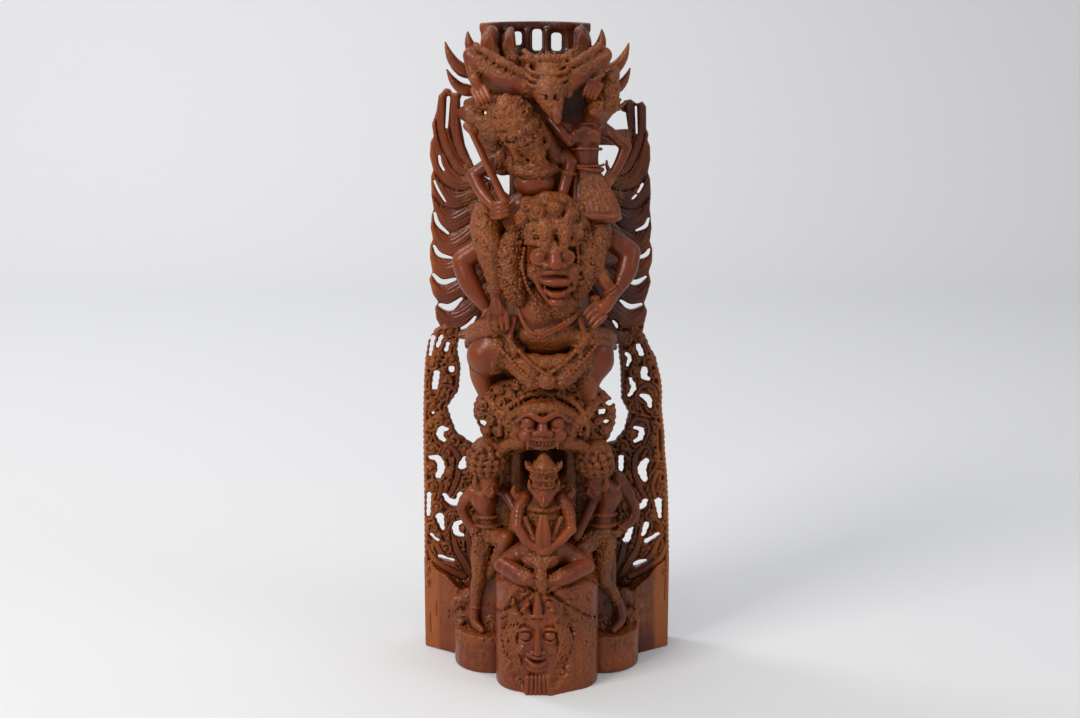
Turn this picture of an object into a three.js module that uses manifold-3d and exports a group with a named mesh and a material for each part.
// A tall Balinese carving in one piece of hardwood, split from a half log.
// From the floor up: a lobed foot, a seated crowned figure between two attendants, pierced scroll
// panels, a lion mask in a fan of scrolls, a squatting winged demon, the rider on its shoulders with a
// captive at his left, and a bird with a ring of feathers above them.
// Millimetres. +Z is up, the front faces -Y, and the origin is under the middle of the foot.
import * as THREE from "three";
import { mergeVertices } from "three/addons/utils/BufferGeometryUtils.js";
import Module from "manifold-3d";

const wasm = await Module();
wasm.setup();

// ---------- driving dimensions ----------
const HEIGHT = 600;
const FOOT_HALF_WIDTH = 118.5;
const BACK_Y = 73; // the flat split face of the log
const FRONT_Y = -73; // the ridge of the front lobe
const LEAN = -0.015; // how far the axis of the log drifts to the left for each millimetre of height
const LEAN_FROM = 67; // the height at which the lean is nothing

const BLOCK_OUTER_TOP = 92;
const BLOCK_INNER_TOP = 64;
const SIDE_LOBE = { x: 52, y: 14, radius: 36, top: 36 };
const FRONT_LOBE = { halfWidth: 47, shoulderY: -30, top: 106, shoulderTop: 94 };
const PANEL = { front: 45, back: 69 };
const WING = { front: 40, back: 66 };

const SMALLEST_STEP = 0.8; // slivers flatter than this, left by the joins, are smoothed away
const THICK_LIMB_SIDES = 6; // facets round a leg or a body
const THIN_LIMB_SIDES = 5; // facets round a limb thinner than THIN_LIMB
const THIN_LIMB = 8;
const BALL_SIDES = 8; // facets round a head or a belly

// ---------- solids from three.js geometry ----------
function solid(geometry) {
  const bare = geometry.index ? geometry.clone() : geometry;
  bare.deleteAttribute("normal");
  bare.deleteAttribute("uv");
  const merged = mergeVertices(bare, 1e-3);
  return new wasm.Manifold(
    new wasm.Mesh({
      numProp: 3,
      vertProperties: new Float32Array(merged.attributes.position.array),
      triVerts: new Uint32Array(merged.index.array),
    }),
  );
}

function join(solids) {
  return solids.reduce((sum, next) => sum.add(next));
}

// An ellipsoid, turned by degrees about X, Y and Z.
function ball([x, y, z], [rx, ry, rz], [tx, ty, tz] = [0, 0, 0]) {
  const turn = new THREE.Euler(...[tx, ty, tz].map(THREE.MathUtils.degToRad));
  const geometry = new THREE.SphereGeometry(1, BALL_SIDES, 5).rotateX(Math.PI / 2);
  const place = new THREE.Matrix4().compose(
    new THREE.Vector3(x, y, z),
    new THREE.Quaternion().setFromEuler(turn),
    new THREE.Vector3(rx, ry, rz),
  );
  return solid(geometry.applyMatrix4(place));
}

// A limb through a list of joints, each [x, y, z, radius]: a ring of facets at every joint, square to
// the bend, a blunt point inside the body it springs from, and a round far end.
function chain(joints) {
  const points = joints.map(([x, y, z]) => new THREE.Vector3(x, y, z));
  const radii = joints.map((joint) => joint[3]);
  const last = points.length - 1;
  const heading = (i) => points[i + 1].clone().sub(points[i]).normalize();
  const first = heading(0);
  const final = heading(last - 1);
  const rings = points.map((point, i) => {
    const before = heading(Math.max(i - 1, 0));
    const after = heading(Math.min(i, last - 1));
    return { point, axis: before.add(after).normalize(), radius: radii[i] };
  });
  const roundedEnd = points[last].clone().addScaledVector(final, radii[last] * 0.6);
  rings.push({ point: roundedEnd, axis: final, radius: radii[last] * 0.75 });
  const tip = points[0].clone().addScaledVector(first, -radii[0] * 0.6);
  const toe = points[last].clone().addScaledVector(final, radii[last]);
  return loft(rings, tip, toe);
}

// A closed skin over rings of facets, ending in a point at either end.
function loft(rings, tip, toe) {
  const vertices = [];
  const faces = [];
  const thickest = Math.max(...rings.map((ring) => ring.radius));
  const n = thickest < THIN_LIMB ? THIN_LIMB_SIDES : THICK_LIMB_SIDES;
  let across = new THREE.Vector3(0.3, -0.8, 0.5);
  rings.forEach(({ point, axis, radius }) => {
    across = across.clone().addScaledVector(axis, -across.dot(axis)).normalize();
    const up = new THREE.Vector3().crossVectors(axis, across);
    for (let k = 0; k < n; k++) {
      const turn = (2 * Math.PI * k) / n;
      const spoke = across.clone().multiplyScalar(Math.cos(turn)).addScaledVector(up, Math.sin(turn));
      vertices.push(point.clone().addScaledVector(spoke, radius));
    }
  });
  const tipIndex = vertices.push(tip) - 1;
  const toeIndex = vertices.push(toe) - 1;
  const endRing = (rings.length - 1) * n;
  for (let k = 0; k < n; k++) {
    const next = (k + 1) % n;
    faces.push(tipIndex, next, k);
    faces.push(toeIndex, endRing + k, endRing + next);
    for (let i = 0; i < rings.length - 1; i++) {
      const [a, b] = [i * n + k, i * n + next];
      faces.push(a, b, b + n, a, b + n, a + n);
    }
  }
  const geometry = new THREE.BufferGeometry().setFromPoints(vertices);
  geometry.setIndex(faces);
  return solid(geometry);
}

// A tapered limb with round ends, from one joint to the next.
function limb(from, to, startRadius, endRadius) {
  return chain([[...from, startRadius], [...to, endRadius]]);
}

function shapeOf(points) {
  return new THREE.Shape(points.map(([a, b]) => new THREE.Vector2(a, b)));
}

// An outline in X and Z, thick from y0 to y1.
function slab(shape, y0, y1, curveSegments = 6) {
  const settings = { depth: y1 - y0, bevelEnabled: false, curveSegments };
  const geometry = new THREE.ExtrudeGeometry(shape, settings);
  return solid(geometry.rotateX(Math.PI / 2).translate(0, y1, 0));
}

// A plan outline in X and Y, standing from z0 to z1.
function post(shape, z0, z1, curveSegments = 8) {
  const settings = { depth: z1 - z0, bevelEnabled: false, curveSegments };
  return solid(new THREE.ExtrudeGeometry(shape, settings).translate(0, 0, z0));
}

function rectanglePost(x0, x1, y0, y1, z0, z1) {
  return post(shapeOf([[x0, y0], [x1, y0], [x1, y1], [x0, y1]]), z0, z1);
}

// A crescent-shaped cutter, bowed downwards, centred at (x, z) and turned by degrees.
function crescent(x, z, length, width, degrees, y0, y1) {
  const shape = new THREE.Shape();
  const half = length / 2;
  shape.moveTo(-half, width * 0.4);
  shape.quadraticCurveTo(0, -width * 1.4, half, width * 0.4);
  shape.quadraticCurveTo(0, width * 0.4, -half, width * 0.4);
  const settings = { depth: y1 - y0, bevelEnabled: false, curveSegments: 4 };
  const geometry = new THREE.ExtrudeGeometry(shape, settings);
  geometry.rotateZ(THREE.MathUtils.degToRad(degrees)).translate(x, z, 0);
  return solid(geometry.rotateX(Math.PI / 2).translate(0, y1, 0));
}

// An upright oval cutter.
function oval(x, z, width, height, y0, y1) {
  const shape = new THREE.Shape();
  shape.absellipse(x, z, width / 2, height / 2, 0, Math.PI * 2);
  return slab(shape, y0, y1, width * height < 90 ? 3 : 4);
}

// ---------- the foot ----------
function sideBlock(side) {
  const face = shapeOf([
    [side * 40, 0],
    [side * FOOT_HALF_WIDTH, 0],
    [side * FOOT_HALF_WIDTH, BLOCK_OUTER_TOP],
    [side * 72, BLOCK_INNER_TOP],
    [side * 40, BLOCK_INNER_TOP],
  ]);
  const plan = shapeOf([
    [side * 40, 25],
    [side * 86, 25],
    [side * FOOT_HALF_WIDTH, 47],
    [side * FOOT_HALF_WIDTH, BACK_Y],
    [side * 40, BACK_Y],
  ]);
  return slab(face, 0, BACK_Y).intersect(post(plan, 0, BLOCK_OUTER_TOP));
}

function sideLobe(side) {
  const { x, y, radius, top } = SIDE_LOBE;
  const shape = new THREE.Shape().absarc(side * x, y, radius, 0, Math.PI * 2);
  return post(shape, 0, top, 10);
}

function frontLobe() {
  const { halfWidth, shoulderY, top, shoulderTop } = FRONT_LOBE;
  const plan = new THREE.Shape();
  plan.moveTo(-halfWidth, BACK_Y);
  plan.lineTo(-halfWidth, shoulderY);
  plan.quadraticCurveTo(-halfWidth + 8, FRONT_Y + 14, 0, FRONT_Y);
  plan.quadraticCurveTo(halfWidth - 8, FRONT_Y + 14, halfWidth, shoulderY);
  plan.lineTo(halfWidth, BACK_Y);
  const face = new THREE.Shape();
  face.moveTo(-halfWidth, 0);
  face.lineTo(halfWidth, 0);
  face.lineTo(halfWidth, shoulderTop - 8);
  face.quadraticCurveTo(halfWidth, top, halfWidth - 14, top);
  face.lineTo(-halfWidth + 14, top);
  face.quadraticCurveTo(-halfWidth, top, -halfWidth, shoulderTop - 8);
  return post(plan, 0, top, 6).intersect(slab(face, FRONT_Y, BACK_Y, 4));
}

// The mask carved in low relief on the front lobe.
function footMask() {
  return join([
    ball([-8, -64, 48], [17, 9, 22]),
    ball([-17, -70, 58], [5, 5, 4]),
    ball([2, -70, 57], [5, 5, 4]),
    limb([-8, -69, 62], [-8, -71, 44], 2.5, 4),
    ball([-8, -66, 90], [11, 6, 14]),
    ball([-8, -69, 33], [13, 4, 5]),
  ]);
}

function foot() {
  const sides = [-1, 1].flatMap((side) => [sideBlock(side), sideLobe(side)]);
  const mask = footMask().intersect(rectanglePost(-60, 60, FRONT_Y, 0, 0, FRONT_LOBE.top));
  return join([...sides, frontLobe(), mask]);
}

// ---------- the standing core of the log ----------
function core() {
  const niche = ball([1, -2, 190], [21, 26, 42]);
  const lower = rectanglePost(-58, 58, 8, 70, 60, 235).subtract(niche);
  const middle = rectanglePost(-34, 38, -2, 66, 225, 430);
  const upper = rectanglePost(-24, 26, 14, 66, 420, 575);
  return join([lower, middle, upper]);
}

// ---------- seated figure and attendants ----------
function seatedFigure() {
  const x = -2;
  const parts = [
    ball([x, -30, 158], [19, 14, 24]),
    ball([x, -38, 190], [11, 12, 17]),
    limb([x, -36, 200], [x, -34, 214], 13, 4),
    ball([x, -38, 132], [30, 22, 14]),
    rectanglePost(-22, 20, -24, 20, 100, 168),
  ];
  for (const side of [-1, 1]) {
    const elbow = [x + side * 27, -42, 150];
    parts.push(chain([[x + side * 21, -34, 175, 6], [...elbow, 5.5], [x + side * 3, -54, 138, 5]]));
    const knee = [x + side * 38, -40, 118, 8];
    parts.push(chain([[x + side * 12, -30, 118, 11], knee, [x - side * 2, -60, 112, 6]]));
  }
  parts.push(limb([x, -54, 140], [x, -56, 162], 5, 2.5));
  return join(parts);
}

function attendant(side, innerHand) {
  const at = (x, y, z, r) => [side * x, y, z, r];
  return join([
    ball([side * 49, -5, 191], [13, 14, 15]),
    ball([side * 53, 2, 210], [19, 15, 13]),
    chain([at(50, 0, 178, 8), at(57, 2, 163, 14), at(55, 3, 145, 10), at(54, 4, 126, 14)]),
    chain([at(66, 4, 171, 6.5), at(80, 9, 151, 5.5), at(62, 0, 129, 5)]),
    chain([at(46, 0, 170, 6.5), at(38, -8, 157, 5.5), [side * innerHand.x, -14, innerHand.z, 5]]),
    chain([at(57, 4, 124, 13), at(61, -2, 90, 10), at(67, 4, 54, 7), at(65, -9, 40, 5.5)]),
    chain([at(50, 0, 126, 11), at(38, -15, 128, 9), at(56, 2, 92, 6)]),
    limb([side * 57, 14, 160], [side * 58, 14, 60], 13, 14),
  ]);
}

// ---------- pierced scroll panels ----------
// The holes are given for the right-hand panel and mirrored for the left.
const PANEL_HOLES = [
  // x, z, width, height
  [101, 299, 4, 15],
  [91, 297, 4, 13],
  [82, 286, 4, 13],
  [103, 271, 8, 17],
  [84, 266, 6, 14],
  [96, 250, 9, 9],
  [89, 217, 10, 11],
  [97, 180, 11, 21],
  [76, 185, 8, 13],
  [110, 144, 5, 22],
  [90, 149, 17, 10],
  [98, 124, 8, 14],
  [82, 119, 9, 15],
  [105, 111, 9, 5],
  [92, 87, 13, 6],
];

function panelOutline(side) {
  const shape = new THREE.Shape();
  shape.moveTo(side * 50, 60);
  shape.lineTo(side * FOOT_HALF_WIDTH, 60);
  shape.lineTo(side * FOOT_HALF_WIDTH, 96);
  const scallops = 9;
  const [low, high] = [96, 296];
  for (let i = 0; i < scallops; i++) {
    const z0 = low + ((high - low) * i) / scallops;
    const z1 = low + ((high - low) * (i + 1)) / scallops;
    const drawIn = (z) => 114.5 - 11 * Math.max(0, (z - 210) / 90) ** 2;
    shape.quadraticCurveTo(side * (drawIn((z0 + z1) / 2) + 2.5), (z0 + z1) / 2, side * drawIn(z1), z1);
  }
  shape.quadraticCurveTo(side * 100, 318, side * 84, 322);
  shape.lineTo(side * 77, 296);
  shape.quadraticCurveTo(side * 74, 262, side * 84, 240);
  shape.quadraticCurveTo(side * 78, 214, side * 62, 205);
  shape.lineTo(side * 50, 200);
  return shape;
}

function scrollPanel(side) {
  const panel = slab(panelOutline(side), PANEL.front, PANEL.back, 3);
  const cutters = PANEL_HOLES.map(([x, z, width, height]) => {
    return oval(side * x, z, width, height, PANEL.front - 2, PANEL.back + 2);
  });
  return panel.subtract(join(cutters));
}

// ---------- the lion mask and its fan of scrolls ----------
function lionMask() {
  const fan = new THREE.Shape();
  const [halfWidth, rise] = [62, 52];
  const petals = 9;
  fan.moveTo(halfWidth, 228);
  for (let i = 0; i < petals; i++) {
    const middle = (Math.PI * (i + 0.5)) / petals;
    const end = (Math.PI * (i + 1)) / petals;
    const bulge = [Math.cos(middle) * (halfWidth + 5), 236 + Math.sin(middle) * (rise + 5)];
    fan.quadraticCurveTo(...bulge, Math.cos(end) * halfWidth, 236 + Math.sin(end) * rise);
  }
  fan.lineTo(-halfWidth + 8, 216);
  fan.lineTo(halfWidth - 8, 216);
  const parts = [
    slab(fan, -24, 20, 3),
    ball([1, -32, 245], [27, 21, 20]),
    ball([-14, -46, 251], [8, 7, 8]),
    ball([14, -46, 251], [8, 7, 8]),
    limb([0, -44, 256], [0, -52, 240], 4, 6),
    ball([0, -42, 232], [14, 10, 6]),
  ];
  return join(parts);
}

// ---------- the winged demon ----------
function demon() {
  const x = 4;
  const parts = [
    ball([x, -18, 336], [36, 29, 28]),
    ball([x, -10, 364], [37, 27, 26]),
    ball([x + 1, -36, 398], [25, 26, 32]),
    ball([x, -18, 390], [43, 22, 38]),
    ball([x + 2, -56, 374], [14, 9, 9]),
    limb([x, -54, 408], [x, -62, 394], 4, 6),
    ball([x - 2, -18, 430], [34, 20, 13]),
    ball([x - 9, -54, 402], [7, 6, 7]),
    ball([x + 13, -54, 404], [7, 6, 7]),
  ];
  for (const side of [-1, 1]) {
    const mid = side * 64;
    parts.push(chain([[x + side * 16, -4, 320, 20], [mid, -24, 306, 17], [side * 46, -14, 282, 11]]));
    parts.push(chain([[x + side * 34, -4, 388, 14], [side * 56, -8, 378, 11], [side * 48, -34, 360, 9]]));
    parts.push(ball([side * 46, -38, 350], [10, 9, 12]));
    parts.push(limb([side * 34, 10, 384], [side * 58, 36, 402], 16, 13));
  }
  return join(parts);
}

const WING_SLITS = 7;

function wing(side) {
  const shape = new THREE.Shape();
  shape.moveTo(side * 34, 330);
  shape.lineTo(side * 72, 300);
  shape.quadraticCurveTo(side * 98, 302, side * 102, 336);
  const scallops = 7;
  const [low, high] = [336, 520];
  for (let i = 0; i < scallops; i++) {
    const z0 = low + ((high - low) * i) / scallops;
    const z1 = low + ((high - low) * (i + 1)) / scallops;
    shape.quadraticCurveTo(side * 105, (z0 + z1) / 2, side * 102, z1);
  }
  shape.quadraticCurveTo(side * 102, 538, side * 91, 536);
  shape.quadraticCurveTo(side * 88, 546, side * 79, 541);
  shape.quadraticCurveTo(side * 76, 480, side * 60, 455);
  shape.lineTo(side * 34, 440);
  const cutters = [oval(side * 87, 526, 2.5, 18, WING.front - 2, WING.back + 2)];
  for (let i = 0; i < WING_SLITS; i++) {
    const t = i / (WING_SLITS - 1); // 0 at the top slit, 1 at the lowest
    const x = 94 - 22 * t ** 4;
    const degrees = side * (70 - 108 * t);
    const width = 2.5 + 3.5 * Math.sin(Math.PI * t) ** 2;
    cutters.push(crescent(side * x, 472 - 141 * t, 20, width, degrees, WING.front - 2, WING.back + 2));
  }
  return slab(shape, WING.front, WING.back, 3).subtract(join(cutters));
}

// ---------- the rider, the captive and the bird ----------
function rider() {
  return join([
    chain([[-8, -8, 438, 17], [-38, -18, 428, 17], [-69, -20, 400, 14], [-44, -38, 356, 8]]),
    chain([[12, -8, 438, 17], [46, -18, 422, 16], [77, -18, 407, 12], [52, -38, 364, 8]]),
    ball([4, -16, 452], [22, 19, 18]),
    ball([0, -16, 478], [27, 17, 18]),
    ball([-11, -34, 499], [13, 14, 17], [0, -25, 0]),
    chain([[-16, -30, 508, 15], [-27, -26, 526, 14], [-35, -22, 546, 9]]),
    chain([[-28, -18, 484, 8], [-58, -14, 476, 7], [-38, -36, 450, 6]]),
    chain([[24, -12, 484, 9], [34, -16, 468, 7], [40, -24, 456, 6]]),
    limb([-61, -26, 514], [-33, -38, 448], 3, 3),
    ball([-38, -34, 445], [11, 10, 8]),
  ]);
}

function captive() {
  return join([
    chain([[53, -22, 438, 19], [46, -24, 460, 15], [42, -23, 484, 10], [43, -26, 506, 14], [46, -24, 526, 6]]),
    ball([46, -24, 540], [10, 11, 12], [0, 20, 0]),
    chain([[52, -22, 552, 8], [60, -12, 536, 9], [64, -6, 516, 6]]),
    chain([[50, -21, 513, 7], [74, -15, 499, 5], [58, -24, 467, 5]]),
    limb([44, -28, 550], [50, -22, 572], 5, 6),
    ball([56, -22, 432], [18, 16, 7]),
    limb([38, -18, 500], [20, 20, 500], 10, 9),
  ]);
}

function bird() {
  return join([
    ball([2, 4, 548], [30, 22, 24]),
    limb([6, 0, 552], [8, -26, 564], 15, 13),
    limb([8, -30, 562], [11, -52, 523], 12, 2.5),
    ball([8, -22, 578], [14, 12, 8]),
    chain([[-22, -8, 556, 10], [-62, -10, 582, 8], [-54, -22, 544, 6.5], [-46, -24, 538, 6]]),
    chain([[24, -8, 562, 10], [54, -10, 578, 8], [47, -20, 546, 6]]),
  ]);
}

// A ring of feathers round the bird's back, with windows through it and loose tips at the sides.
const RING = { x: 0, y: 18, outer: 46, inner: 37, low: 528 };

// A curved feather from its root through a bend to its tip, 15 mm broad.
function feather(side, root, bend, tip, y0, y1) {
  const outline = [
    [root[0], root[1] - 9],
    [bend[0], bend[1] - 7],
    [bend[0] + 11, bend[1] + 8],
    tip,
    [bend[0] - 2, bend[1] + 12],
    [root[0], root[1] + 10],
  ];
  return slab(shapeOf(outline.map(([x, z]) => [side * x, z])), y0, y1);
}

function featherRing() {
  const { x, y, outer, inner, low } = RING;
  const plan = new THREE.Shape();
  plan.absarc(x, y, outer, 0, Math.PI, false);
  plan.lineTo(x - inner, y);
  plan.absarc(x, y, inner, Math.PI, 0, true);
  const windows = [-18, 0, 17].map((wx) => oval(wx, 582, 9, 18, y + 20, y + outer + 4));
  const ring = post(plan, low, HEIGHT, 7).subtract(join(windows));
  const web = rectanglePost(-40, 40, 30, 46, low - 18, low + 30);
  const tips = [-1, 1].flatMap((side) => [
    feather(side, [30, 540], [64, 552], [82, 590], 8, 24),
    feather(side, [30, 526], [66, 530], [82, 566], 9, 26),
    feather(side, [34, 556], [50, 566], [62, 598], 12, 20),
    chain([[side * 30, 34, 520, 11], [side * 62, 36, 510, 10], [side * 80, 50, 500, 9]]),
  ]);
  return join([ring, web, ...tips]);
}

// ---------- the whole carving ----------
function carving() {
  const upright = join([
    foot(),
    core(),
    seatedFigure(),
    attendant(-1, { x: 29, z: 160 }),
    attendant(1, { x: 27, z: 136 }),
    scrollPanel(-1),
    scrollPanel(1),
    lionMask(),
    demon(),
    wing(-1),
    wing(1),
    rider(),
    captive(),
    bird(),
    featherRing(),
  ]);
  const mesh = upright.simplify(SMALLEST_STEP).getMesh();
  const position = new Float32Array(mesh.vertProperties);
  const geometry = new THREE.BufferGeometry();
  geometry.setAttribute("position", new THREE.BufferAttribute(position, 3));
  geometry.setIndex(new THREE.BufferAttribute(new Uint32Array(mesh.triVerts), 1));
  // The lean of the log: x moves with z.
  const lean = new THREE.Matrix4().set(1, 0, LEAN, -LEAN * LEAN_FROM, 0, 1, 0, 0, 0, 0, 1, 0, 0, 0, 0, 1);
  geometry.applyMatrix4(lean);
  geometry.computeBoundingBox();
  const centre = geometry.boundingBox.getCenter(new THREE.Vector3());
  geometry.translate(-centre.x, -centre.y, 0);
  geometry.computeVertexNormals();
  return geometry;
}

const wood = new THREE.MeshStandardMaterial({ color: 0x8a4a2c, roughness: 0.45, metalness: 0 });
const piece = new THREE.Mesh(carving(), wood);
piece.name = "carving";

const group = new THREE.Group();
group.add(piece);

export default group;
